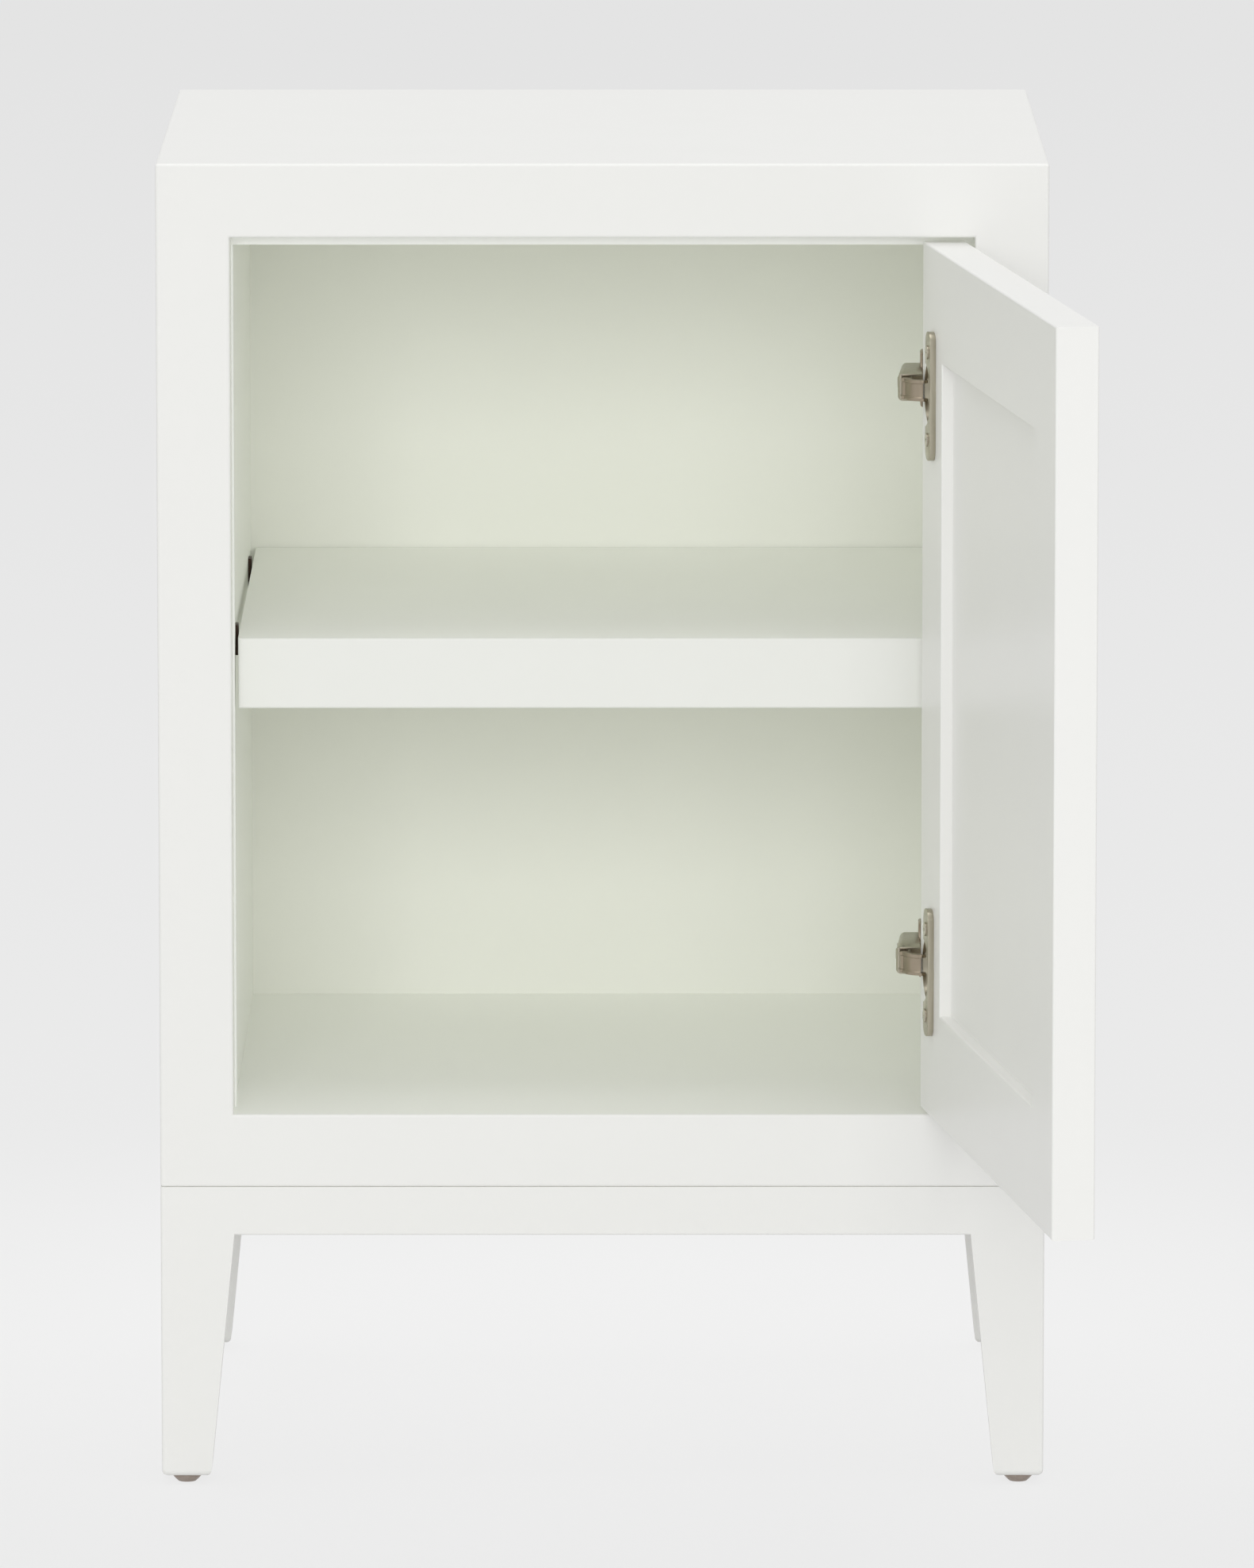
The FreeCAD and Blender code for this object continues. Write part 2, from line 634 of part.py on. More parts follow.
# Hinge arms, mounting plates and their screws
arm_x = inner_half - arm_stand
arm_open_x = arm_x + arm_thickness
arm_start = front + arm_front
PIVOTS = {"outer": (inner_half - outer_pivot_in, front + outer_pivot_back),
          "inner": (inner_half - inner_pivot_in, front + inner_pivot_back)}
arm_screws = []
for name, z in HINGES:
    arm = new_body("arm_" + name)
    pad(arm, rectangle(arm, "arm_%s_outline" % name, "XY_Plane", (arm_x, arm_start), (arm_open_x, plate_rear),
                       z - arm_height / 2), arm_height)
    fillet(arm, "arm_%s_ends" % name, arm_round, [{"x": arm_x, "y": arm_start}, {"x": arm_x, "y": plate_rear}])
    channel_half = arm_height / 2 - arm_sheet
    pocket(arm, rectangle(arm, "arm_%s_channel" % name, "YZ_Plane", (arm_start - overrun, z - channel_half),
                          (plate_rear + overrun, z + channel_half), arm_open_x), arm_thickness - arm_sheet)
    adjuster_spots = [(arm_x, plate_middle - adjuster_pitch, z), (arm_x, plate_middle, z)]
    adjuster_holes = [rod("adjuster_hole_%s_%d" % (name, index), (spot[0] - overrun,) + spot[1:], "+x",
                          adjuster_shank + fit_clearance, adjuster_length + overrun * 2)
                      for index, spot in enumerate(adjuster_spots)]
    pivot_holes = [rod("%s_pivot_hole_%s" % (link, name), spot + (z - arm_height / 2 - overrun,), "+z",
                       pivot_radius + fit_clearance, arm_height + overrun * 2) for link, spot in PIVOTS.items()]
    node(cut("arm_%s_cut" % name, arm, adjuster_holes + pivot_holes), name + "_hinge_arm")
    for index, spot in enumerate(adjuster_spots):
        shank = rod("adjuster_shank_%s_%d" % (name, index), spot, "+x", adjuster_shank, adjuster_length)
        head = rod("adjuster_head_%s_%d" % (name, index), spot, "-x", adjuster_radius, adjuster_proud)
        arm_screws.append(fuse("adjuster_%s_%d" % (name, index), [shank, head]))

    plate = box("plate_flat_" + name, (inner_half - plate_sheet, plate_rear - plate_width, z - plate_height / 2),
                (inner_half, plate_rear, z + plate_height / 2))
    plate = soften("plate_round_" + name, plate, plate_round,
                   [{"y": y, "z": end} for y in (plate_rear - plate_width, plate_rear)
                    for end in (z - plate_height / 2, z + plate_height / 2)])
    saddle_start = plate_rear - saddle_width
    saddle = box("saddle_outer_" + name, (arm_open_x, saddle_start, z - saddle_height / 2),
                 (inner_half - plate_sheet, plate_rear, z + saddle_height / 2))
    saddle = soften("saddle_round_" + name, saddle, saddle_sheet,
                    [{"x": arm_open_x, "z": z - saddle_height / 2}, {"x": arm_open_x, "z": z + saddle_height / 2}])
    saddle_void = box("saddle_void_" + name,
                      (arm_open_x + saddle_sheet, saddle_start - overrun, z - saddle_height / 2 + saddle_sheet),
                      (inner_half - plate_sheet, plate_rear + overrun, z + saddle_height / 2 - saddle_sheet))
    saddle = cut("saddle_" + name, saddle, [saddle_void])
    tongue = box("plate_tongue_" + name,
                 (arm_x + arm_sheet + arm_play, plate_rear - tongue_length, z - channel_half + arm_play),
                 (arm_open_x + saddle_sheet, plate_rear, z + channel_half - arm_play))
    whole = fuse("plate_whole_" + name, [plate, saddle, tongue])
    node(cut("plate_cut_" + name, whole, plate_holes + adjuster_holes), name + "_hinge_plate")
node(group("plate_screw_group", plate_screws), "hinge_plate_screws")
node(group("arm_screw_group", arm_screws), "hinge_arm_screws")


# Hinge links: bowed bars drawn along +X from their pivot, then turned to their open place
def bowed(reach, bow, peak, share, offset):
    """A point beside a link's centre line, which bows by a parabola to each side of its peak."""
    step = share / peak if share < peak else (1 - share) / (1 - peak)
    slope = 2 * (1 - step) * (1 / peak if share < peak else -1 / (1 - peak))
    ahead = FreeCAD.Vector(reach.value, -bow.value * slope, 0).normalize()
    side = FreeCAD.Vector(-ahead.y, ahead.x, 0)
    return FreeCAD.Vector(reach.value * share, -bow.value * step * (2 - step), 0) + side * offset.value


def link_band(reach, bow, peak, start, low_offset, high_offset, z_low, height):
    """A band that follows a link's centre line between two offsets."""
    edges, ends = [], []
    for offset in (low_offset, high_offset):
        for first, last in ((start, peak), (peak, 1)):
            places = [bowed(reach, bow, peak, share, offset) for share in (first, (first + last) / 2, last)]
            edges.append(Part.Arc(*places))
            ends.append(places[0 if first == start else -1])
    edges += [Part.LineSegment(ends[0], ends[2]), Part.LineSegment(ends[1], ends[3])]
    wire = Part.Wire(Part.__sortEdges__([edge.toShape() for edge in edges]))
    band = Part.Face(wire).extrude(FreeCAD.Vector(0, 0, height.value))
    band.translate(FreeCAD.Vector(0, 0, z_low.value))
    return band


def disc(centre, radius, z_low, height):
    return Part.makeCylinder(radius.value, height.value, centre + FreeCAD.Vector(0, 0, z_low.value))


def link_node(label, solid, pivot, z, angle):
    """Bores a link's eye and sets the link on its pivot."""
    item = doc.addObject("Part::Feature", label + "_solid")
    item.Shape = solid.cut(disc(FreeCAD.Vector(), pivot_radius + fit_clearance, -arm_height, arm_height * 2))
    item.Placement = FreeCAD.Placement(FreeCAD.Vector(pivot[0].value, pivot[1].value, z.value),
                                       FreeCAD.Rotation(FreeCAD.Vector(0, 0, 1), angle.value))
    return node(item, label)


def link_tip(reach):
    return FreeCAD.Vector(reach.value, 0, 0)


def outer_link():
    half, web_edge = outer_width / 2, outer_web - outer_width / 2
    lows = (-(outer_height / 2), outer_height / 2 - outer_cheek)
    parts = []
    for low in lows:
        parts += [link_band(outer_reach, outer_bow, OUTER_BOW_SHARE, 0, -half, half, low, outer_cheek),
                  disc(FreeCAD.Vector(), outer_eye, low, outer_cheek),
                  disc(link_tip(outer_reach), outer_tip_eye, low, outer_cheek)]
    parts.append(link_band(outer_reach, outer_bow, OUTER_BOW_SHARE, WEB_START_SHARE, -half, web_edge, lows[0],
                           outer_height))
    return parts[0].multiFuse(parts[1:]).removeSplitter()


def inner_link():
    half, low = inner_width / 2, -(inner_height / 2)
    parts = [link_band(inner_reach, inner_bow, INNER_BOW_SHARE, 0, -half, half, low, inner_height),
             disc(FreeCAD.Vector(), inner_eye, low, inner_height),
             disc(link_tip(inner_reach), half, low, inner_height)]
    return parts[0].multiFuse(parts[1:]).removeSplitter()


for name, z in HINGES:
    link_node(name + "_outer_link", outer_link(), PIVOTS["outer"], z, outer_angle)
    link_node(name + "_inner_link", inner_link(), PIVOTS["inner"], z, inner_angle)
    stub_start = outer_height / 2 - outer_cheek
    stub_length = arm_height / 2 - stub_start
    rivets = [rod("outer_stub_high_" + name, PIVOTS["outer"] + (z + stub_start,), "+z", pivot_radius, stub_length),
              rod("outer_stub_low_" + name, PIVOTS["outer"] + (z - stub_start,), "-z", pivot_radius, stub_length),
              rod("inner_rivet_" + name, PIVOTS["inner"] + (z - arm_height / 2,), "+z", pivot_radius, arm_height)]
    node(group("rivet_group_" + name, rivets), name + "_hinge_rivets")

# Every object must have built, and every piece is written to its own file
doc.recompute()
broken = [item.Name for item in doc.Objects if "Invalid" in item.State or "Error" in item.State]
if broken:
    raise RuntimeError("not built: " + ", ".join(broken))
for item in nodes:
    if item.Shape.isNull() or not item.Shape.isValid() or not item.Shape.Solids:
        raise RuntimeError("bad shape: " + item.Label)
for item in nodes:
    item.Shape.exportStep("parts/%s.step" % item.Label)
    print("%-28s %2d solids %10.1f mm3" % (item.Label, len(item.Shape.Solids), item.Shape.Volume))
print(len(nodes), "pieces")
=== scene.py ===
"""Looks of the small white side table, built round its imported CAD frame.

Metres, +Z up, the front of the case faces -Y. Every wooden piece is the frame's own solid, lacquered
but for the pine blocks in the base. The hinges, shelf supports, glides and screws are formed here as
stamped or turned pieces.
"""
import logging
import math
from collections.abc import Callable, Iterable, Iterator
from contextlib import contextmanager
from dataclasses import dataclass, field
from enum import Enum
from typing import Any

import bmesh
import bpy
from mathutils import Matrix, Vector


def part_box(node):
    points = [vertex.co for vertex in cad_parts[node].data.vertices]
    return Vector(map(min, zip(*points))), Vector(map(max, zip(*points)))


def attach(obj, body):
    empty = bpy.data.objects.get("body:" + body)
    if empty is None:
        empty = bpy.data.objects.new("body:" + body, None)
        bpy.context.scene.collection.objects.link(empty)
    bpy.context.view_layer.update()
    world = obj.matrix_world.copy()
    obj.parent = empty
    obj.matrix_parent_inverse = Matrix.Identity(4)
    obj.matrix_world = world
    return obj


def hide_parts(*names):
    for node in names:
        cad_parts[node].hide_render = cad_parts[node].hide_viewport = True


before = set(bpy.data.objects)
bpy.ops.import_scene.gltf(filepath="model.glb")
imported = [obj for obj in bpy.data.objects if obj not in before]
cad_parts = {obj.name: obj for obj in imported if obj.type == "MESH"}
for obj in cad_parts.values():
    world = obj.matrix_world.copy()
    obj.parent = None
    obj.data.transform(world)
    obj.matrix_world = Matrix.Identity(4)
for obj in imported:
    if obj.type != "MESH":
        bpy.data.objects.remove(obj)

LOG = logging.getLogger("side_table")
MM = 0.001
MERGE = 0.002 * MM  # corners closer than this are one
TOUCH = 0.1 * MM  # what is closer than this to an end is at that end
FACING = 0.9  # a normal with this much of itself along an axis faces that way

Spot = tuple[Vector, Vector, float]  # a screw's seat, its outward direction and its turn in degrees


# Colour and node helpers

def linear(hex_colour: str) -> tuple[float, float, float, float]:
    """Turns an sRGB hex colour into linear light.

    Args:
        hex_colour: six hex digits.

    Returns:
        Linear red, green and blue, and an alpha of 1.
    """
    shares = [int(hex_colour[place:place + 2], 16) / 255 for place in (0, 2, 4)]
    red, green, blue = (share / 12.92 if share <= 0.04045 else ((share + 0.055) / 1.055) ** 2.4
                        for share in shares)
    return red, green, blue, 1.0


def add_node(tree: bpy.types.NodeTree, kind: str, settings: dict[str, Any] | None = None,
             inputs: dict[Any, Any] | None = None) -> bpy.types.Node:
    """Adds a node with its settings and links.

    Args:
        tree: the node tree.
        kind: the node's type name.
        settings: properties of the node.
        inputs: a value, or an output socket to link, for each input.

    Returns:
        The new node.
    """
    node = tree.nodes.new(kind)
    for name, value in (settings or {}).items():
        setattr(node, name, value)
    for name, value in (inputs or {}).items():
        if isinstance(value, bpy.types.NodeSocket):
            tree.links.new(value, node.inputs[name])
        else:
            node.inputs[name].default_value = value
    return node


def per_metre(millimetres: float) -> float:
    """Texture scale that gives features of a real size on Object coordinates."""
    return 1 / (millimetres * MM)


# Finishes

@dataclass(frozen=True)
class Finish:
    """A finish on one kind of material.

    Its colour drifts between two close tones and its roughness with it, in patches of the mottle's size,
    and a finer texture gives it relief.
    """

    name: str
    colour: str
    shade: str
    roughness: float
    roughness_swing: float
    metallic: float
    mottle_mm: float
    texture_mm: float
    texture_depth_mm: float

    def stretch(self) -> tuple[float, float, float]:
        """How the texture is drawn out along each axis."""
        return 1.0, 1.0, 1.0

    def extra(self, shader: bpy.types.Node) -> None:
        """Sets what only this finish has."""

    def paint(self, tree: bpy.types.NodeTree, place: bpy.types.Node,
              mottle: bpy.types.Node) -> bpy.types.NodeSocket:
        """Mixes the finish's two tones.

        Args:
            tree: the material's node tree.
            place: its texture coordinates, not used by this mix.
            mottle: the noise that the tones follow.

        Returns:
            The colour.
        """
        colour = add_node(tree, "ShaderNodeMix", {"data_type": "RGBA"},
                          {"Factor": mottle.outputs["Fac"], "A": linear(self.colour),
                           "B": linear(self.shade)})
        return colour.outputs["Result"]

    def build(self) -> bpy.types.Material:
        """Makes the material.

        Returns:
            A node material that reads Object coordinates.
        """
        material = bpy.data.materials.new(self.name)
        material.use_nodes = True
        tree = material.node_tree
        tree.nodes.clear()
        place = add_node(tree, "ShaderNodeTexCoord")
        drawn = add_node(tree, "ShaderNodeMapping", inputs={"Vector": place.outputs["Object"],
                                                            "Scale": self.stretch()})
        mottle = add_node(tree, "ShaderNodeTexNoise",
                          inputs={"Vector": drawn.outputs["Vector"], "Scale": per_metre(self.mottle_mm),
                                  "Detail": 4.0, "Roughness": 0.55})
        gloss = add_node(tree, "ShaderNodeMapRange",
                         inputs={"Value": mottle.outputs["Fac"],
                                 "To Min": self.roughness - self.roughness_swing,
                                 "To Max": self.roughness + self.roughness_swing})
        texture = add_node(tree, "ShaderNodeTexNoise",
                           inputs={"Vector": drawn.outputs["Vector"], "Scale": per_metre(self.texture_mm),
                                   "Detail": 2.0})
        relief = add_node(tree, "ShaderNodeBump",
                          inputs={"Height": texture.outputs["Fac"], "Strength": 1.0,
                                  "Distance": self.texture_depth_mm * MM})
        shader = add_node(tree, "ShaderNodeBsdfPrincipled",
                          inputs={"Base Color": self.paint(tree, place, mottle),
                                  "Roughness": gloss.outputs["Result"], "Metallic": self.metallic,
                                  "Normal": relief.outputs["Normal"]})
        self.extra(shader)
        add_node(tree, "ShaderNodeOutputMaterial", inputs={"Surface": shader.outputs["BSDF"]})
        return material


@dataclass(frozen=True)
class SprayedLacquer(Finish):
    """White polyurethane lacquer, sprayed and rubbed to a satin sheen: a smooth skin that blurs
    what it reflects, with a trace of orange peel."""

    ior: float = 1.48
    skin: float = 0.12
    skin_roughness: float = 0.22

    def extra(self, shader: bpy.types.Node) -> None:
        """Lays a thin clear skin over the white.

        Args:
            shader: the material's shader.
        """
        shader.inputs["IOR"].default_value = self.ior
        shader.inputs["Coat Weight"].default_value = self.skin
        shader.inputs["Coat Roughness"].default_value = self.skin_roughness


@dataclass(frozen=True)
class CaseLacquer(SprayedLacquer):
    """The same lacquer on a board of the case, with painted light: a brighter white where the board faces
    the inside.
    """

    # painted light: the cavity's faces take this brighter white in place of light
    inside: str = "FCFDF9"
    half_width_mm: float = 191.0
    front_mm: float = -188.5
    middle_mm: float = 422.5
    half_height_mm: float = 228.0

    def paint(self, tree: bpy.types.NodeTree, place: bpy.types.Node,
              mottle: bpy.types.Node) -> bpy.types.NodeSocket:
        """Paints light on the walls of the cavity as a brighter white.

        Args:
            tree: the material's node tree.
            place: its texture coordinates.
            mottle: the noise that the tones follow.

        Returns:
            The colour.
        """
        parts = add_node(tree, "ShaderNodeSeparateXYZ", inputs={"Vector": place.outputs["Object"]})
        across = add_node(tree, "ShaderNodeMath", {"operation": "ABSOLUTE"}, {0: parts.outputs["X"]})
        up = add_node(tree, "ShaderNodeMath", {"operation": "SUBTRACT"},
                      {0: parts.outputs["Z"], 1: self.middle_mm * MM})
        away = add_node(tree, "ShaderNodeMath", {"operation": "ABSOLUTE"}, {0: up.outputs[0]})
        # inner is 1 on the faces inside the cavity, where painted light brightens the white
        inner = 1.0
        for value, test, limit_mm in ((across.outputs[0], "LESS_THAN", self.half_width_mm),
                                      (away.outputs[0], "LESS_THAN", self.half_height_mm),
                                      (parts.outputs["Y"], "GREATER_THAN", self.front_mm)):
            passed = add_node(tree, "ShaderNodeMath", {"operation": test}, {0: value, 1: limit_mm * MM})
            inner = add_node(tree, "ShaderNodeMath", {"operation": "MULTIPLY"},
                             {0: inner, 1: passed.outputs[0]}).outputs[0]
        colour = add_node(tree, "ShaderNodeMix", {"data_type": "RGBA"},
                          {"Factor": inner, "A": super().paint(tree, place, mottle),
                           "B": linear(self.inside)})
        return colour.outputs["Result"]


@dataclass(frozen=True)
class PlatedSteel(Finish):
    """Stamped steel with a nickel plate: bright, slightly brown, with faint drawing lines."""

    def stretch(self) -> tuple[float, float, float]:
        """The sheet was drawn up and down."""
        return 1.0, 1.0, 0.16


@dataclass(frozen=True)
class BronzedSteel(Finish):
    """Steel with a dark brown plate that hardly shines."""


@dataclass(frozen=True)
class TurnedBronze(Finish):
    """A bronze-plated steel head, worn to a soft shine."""


@dataclass(frozen=True)
class PlanedPine(Finish):
    """Planed pine blocks, with long pale and dark grain."""

    def stretch(self) -> tuple[float, float, float]:
        """Grain runs along X."""
        return 0.08, 1.0, 1.0


class Coat(Enum):
    """The finishes of the table, named for what they are."""

    # painted light: the case and shelf-edge coats turn a brighter white inside the cavity
    CASE = CaseLacquer("sprayed_lacquer_on_the_case_painted_lighter_inside", "F0F0ED", "EFEFEC", 0.36, 0.03, 0.0, 46.0, 2.2,
                       0.004)
    SHELF = CaseLacquer("sprayed_lacquer_on_the_shelf_edge_painted_lighter_inside", "EDEEE9", "ECEDE8", 0.36, 0.03, 0.0, 46.0, 2.2,
                        0.004, front_mm=-165.0)
    # painted light: the inner pieces take a brighter, faintly green white than the case's outside
    INSIDE = SprayedLacquer("sprayed_lacquer_inside_painted_lighter", "FCFDF9", "FBFCF8", 0.42, 0.03, 0.0, 38.0, 2.2, 0.005)
    # painted shade: the back panel takes a darker, greener white than the inner pieces
    BACK = SprayedLacquer("sprayed_lacquer_on_the_back_panel_painted_darker", "F1F2EB", "F0F1EA", 0.46, 0.03, 0.0,
                          60.0, 2.6, 0.006)
    DOOR = SprayedLacquer("sprayed_lacquer_on_the_door", "F3F3F0", "F2F2EF", 0.34, 0.03, 0.0, 46.0, 2.2,
                          0.004)
    NICKEL = PlatedSteel("nickel_plated_steel", "BDB7A6", "ADA796", 0.3, 0.06, 1.0, 3.0, 0.35, 0.006)
    # painted light: a slightly lighter copy of the nickel for the cups
    FLANGE_PAINTED_LIGHTER = PlatedSteel("nickel_plated_cups_painted_lighter", "BFB9A7", "AFA997", 0.32, 0.06, 1.0, 3.0, 0.35, 0.006)
    # painted shade: a darker, browner copy of the nickel for the plates and links
    LINK = PlatedSteel("nickel_plated_links_painted_darker", "ACA08D", "9C8F7E", 0.34, 0.06, 1.0, 3.0, 0.35, 0.006)
    SCREW = PlatedSteel("nickel_plated_screws", "C2BCAD", "B0AA9B", 0.26, 0.05, 1.0, 1.6, 0.3, 0.004)
    BROWN = BronzedSteel("brown_plated_steel", "4A382C", "382A20", 0.46, 0.08, 0.6, 3.0, 0.5, 0.008)
    GLIDE = TurnedBronze("bronze_plated_glides", "ADA197", "93867D", 0.42, 0.08, 0.6, 2.4, 0.6, 0.01)
    PINE = PlanedPine("planed_pine", "D9BC8C", "BF9A66", 0.62, 0.06, 0.0, 5.0, 0.9, 0.03)


MATERIALS: dict[Coat, bpy.types.Material] = {}


# Mesh helpers, all through the operators

def deselect() -> None:
    """Leaves nothing selected."""
    if bpy.context.mode != "OBJECT":
        bpy.ops.object.mode_set(mode="OBJECT")
    bpy.ops.object.select_all(action="DESELECT")


def activate(piece: bpy.types.Object) -> None:
    """Selects one object alone and makes it active.

    Args:
        piece: the object.
    """
    deselect()
    piece.select_set(True)
    bpy.context.view_layer.objects.active = piece


def apply_place(piece: bpy.types.Object) -> None:
    """Moves an object's place into its mesh."""
    activate(piece)
    bpy.ops.object.transform_apply(location=True, rotation=True, scale=True)


class Pick(Enum):
    """What is selected for an edit."""

    FACES = "FACE"
    CORNERS = "VERT"


@contextmanager
def editing(piece: bpy.types.Object, wanted: Callable[[Vector, Vector], bool],
            pick: Pick = Pick.FACES) -> Iterator[None]:
    """Opens a piece in edit mode with only the wanted faces or corners selected, and closes it after.

    Args:
        piece: the object to edit.
        wanted: a test of the place and the normal of a face or corner.
        pick: whether faces or corners are selected.

    Yields:
        Nothing: the piece stays open for as long as the block lasts.
    """
    activate(piece)
    bpy.ops.object.mode_set(mode="EDIT")
    bpy.ops.mesh.select_mode(type=pick.value)
    bpy.ops.mesh.select_all(action="DESELECT")
    mesh = bmesh.from_edit_mesh(piece.data)
    if pick is Pick.FACES:
        for face in mesh.faces:
            face.select = wanted(face.calc_center_median(), face.normal)
    else:
        for corner in mesh.verts:
            corner.select = wanted(corner.co, corner.normal)
    mesh.select_flush_mode()
    bmesh.update_edit_mesh(piece.data)
    yield
    bpy.ops.object.mode_set(mode="OBJECT")


def anywhere(place: Vector, normal: Vector) -> bool:
    """Wants every face."""
    return True


def facing_up(place: Vector, normal: Vector) -> bool:
    """Wants the faces that face up."""
    return normal.z > FACING


def facing_down(place: Vector, normal: Vector) -> bool:
    """Wants the faces that face down."""
    return normal.z < -FACING


def bevel_edges(piece: bpy.types.Object, width_mm: float) -> None:
    """Rounds a piece's sharp edges with an applied bevel.

    Args:
        piece: the object.
        width_mm: width of the bevel.
    """
    activate(piece)
    rounded = piece.modifiers.new("rounded", "BEVEL")
    rounded.width = width_mm * MM
    rounded.segments = 2
    rounded.limit_method = "ANGLE"
    rounded.angle_limit = math.radians(35.0)
    bpy.ops.object.modifier_apply(modifier=rounded.name)


def smooth(piece: bpy.types.Object, angle: float = 30.0) -> None:
    """Shades a piece smooth up to an angle in degrees."""
    activate(piece)
    bpy.ops.object.shade_smooth_by_angle(angle=math.radians(angle))


def subtract(piece: bpy.types.Object, tool: bpy.types.Object) -> None:
    """Cuts a tool out of a piece and removes the tool.

    Args:
        piece: what is cut.
        tool: the shape that is taken away.
    """
    activate(piece)
    carve = piece.modifiers.new("carve", "BOOLEAN")
    carve.operation = "DIFFERENCE"
    carve.object = tool
    carve.solver = "EXACT"
    bpy.ops.object.modifier_apply(modifier=carve.name)
    bpy.data.objects.remove(tool)


def join(pieces: list[bpy.types.Object], name: str) -> bpy.types.Object:
    """Joins several objects into one.

    Args:
        pieces: the objects.
        name: name of the joined object.

    Returns:
        The joined object, its place in its mesh.
    """
    deselect()
    for piece in pieces:
        piece.select_set(True)
    bpy.context.view_layer.objects.active = pieces[0]
    bpy.ops.object.join()
    joined = bpy.context.view_layer.objects.active
    joined.name = name
    joined.data.name = name
    apply_place(joined)
    return joined


def twin(mesh: bpy.types.Mesh, name: str) -> bpy.types.Object:
    """Adds an object with its own copy of a mesh.

    Args:
        mesh: the mesh to copy.
        name: name of the object and of its mesh.

    Returns:
        The new object.
    """
    piece = bpy.data.objects.new(name, mesh.copy())
    piece.data.name = name
    bpy.context.scene.collection.objects.link(piece)
    return piece


def eased_copy(node: str, name: str, width_mm: float,
               form: Callable[[bpy.types.Object], None] | None = None) -> bpy.types.Object:
    """Copies a frame solid and rounds its edges, as tumbling rounds a stamping.

    Args:
        node: the frame node.
        name: name of the new piece.
        width_mm: width of the rounding.
        form: shapes the copy before its edges are rounded.

    Returns:
        The new piece.
    """
    piece = twin(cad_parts[node].data, name)
    with editing(piece, anywhere):
        bpy.ops.mesh.remove_doubles(threshold=MERGE)
        bpy.ops.mesh.dissolve_limited(angle_limit=math.radians(1.0))
    if form:
        form(piece)
    bevel_edges(piece, width_mm)
    smooth(piece)
    return piece


def paint_piece(piece: bpy.types.Object, coat: Coat) -> None:
    """Gives a piece its finish alone."""
    piece.data.materials.clear()
    piece.data.materials.append(MATERIALS[coat])


def finish_piece(piece: bpy.types.Object, coat: Coat, body: str,
                 nodes: Iterable[str] = ()) -> None:
    """Dresses a new piece and ties it to the frame.

    Args:
        piece: the object.
        coat: its finish.
        body: the frame body that it rides on.
        nodes: frame nodes that it stands for.
    """
    paint_piece(piece, coat)
    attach(piece, body)
    if nodes:
        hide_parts(*nodes)
    LOG.info("%s: %d faces, %s, on %s", piece.name, len(piece.data.polygons), coat.name.lower(), body)


# Screws

class Head(Enum):
    """Screw head forms, with the share of its height that each rounds off."""

    PAN = 0.9
    FLAT = 0.25


@dataclass
class CrossScrew:
    """A cross-recess screw head with its shank, modelled once at the origin, head up +Z."""

    head_radius_mm: float = 3.5
    head_height_mm: float = 1.6
    shank_radius_mm: float = 1.9
    shank_mm: float = 11.0
    recess_mm: float = 3.6
    blade_mm: float = 0.8
    depth_mm: float = 1.3
    recess_taper: tuple[float, float, float] = (0.35, 0.6, 1)
    form: Head = Head.PAN
    sides: int = 40

    def build(self) -> bpy.types.Object:
        """Models the screw.

        Returns:
            The screw, its seat at the origin.
        """
        deselect()
        bpy.ops.mesh.primitive_cylinder_add(vertices=self.sides, radius=self.head_radius_mm * MM,
                                            depth=self.head_height_mm * MM,
                                            location=(0, 0, self.head_height_mm * MM / 2))
        head = bpy.context.object
        apply_place(head)
        with editing(head, facing_up):
            bpy.ops.mesh.bevel(offset=self.form.value * self.head_height_mm * MM, segments=5, affect="EDGES")
        with editing(head, facing_down):
            bpy.ops.mesh.inset(thickness=(self.head_radius_mm - self.shank_radius_mm) * MM)
            bpy.ops.mesh.extrude_region_move(TRANSFORM_OT_translate={"value": (0, 0, -self.shank_mm * MM)})
            bpy.ops.mesh.bevel(offset=self.shank_radius_mm / 2 * MM, segments=2, affect="EDGES")
        for turn in (0.0, 90.0):
            bpy.ops.mesh.primitive_cube_add(size=1, location=(0, 0, self.head_height_mm * MM))
            blade = bpy.context.object
            blade.scale = (self.recess_mm * MM, self.blade_mm * MM, 2 * self.depth_mm * MM)
            blade.rotation_euler = (0, 0, math.radians(turn))
            apply_place(blade)
            with editing(blade, facing_down):
                bpy.ops.transform.resize(value=self.recess_taper)
            subtract(head, blade)
        smooth(head, 32.0)
        return head

    def place(self, spots: list[Spot], name: str) -> bpy.types.Object:
        """Copies the screw to each spot.

        Args:
            spots: the spot of each screw.
            name: name of the joined piece.

        Returns:
            All the screws as one piece.
        """
        pattern = self.build()
        copies = []
        for seat, outward, turn in spots:
            screw = twin(pattern.data, name)
            aim = outward.to_track_quat("Z", "Y").to_matrix().to_4x4()
            screw.matrix_world = Matrix.Translation(seat) @ aim @ Matrix.Rotation(math.radians(turn), 4, "Z")
            copies.append(screw)
        bpy.data.objects.remove(pattern)
        return join(copies, name)


# Sub-assemblies

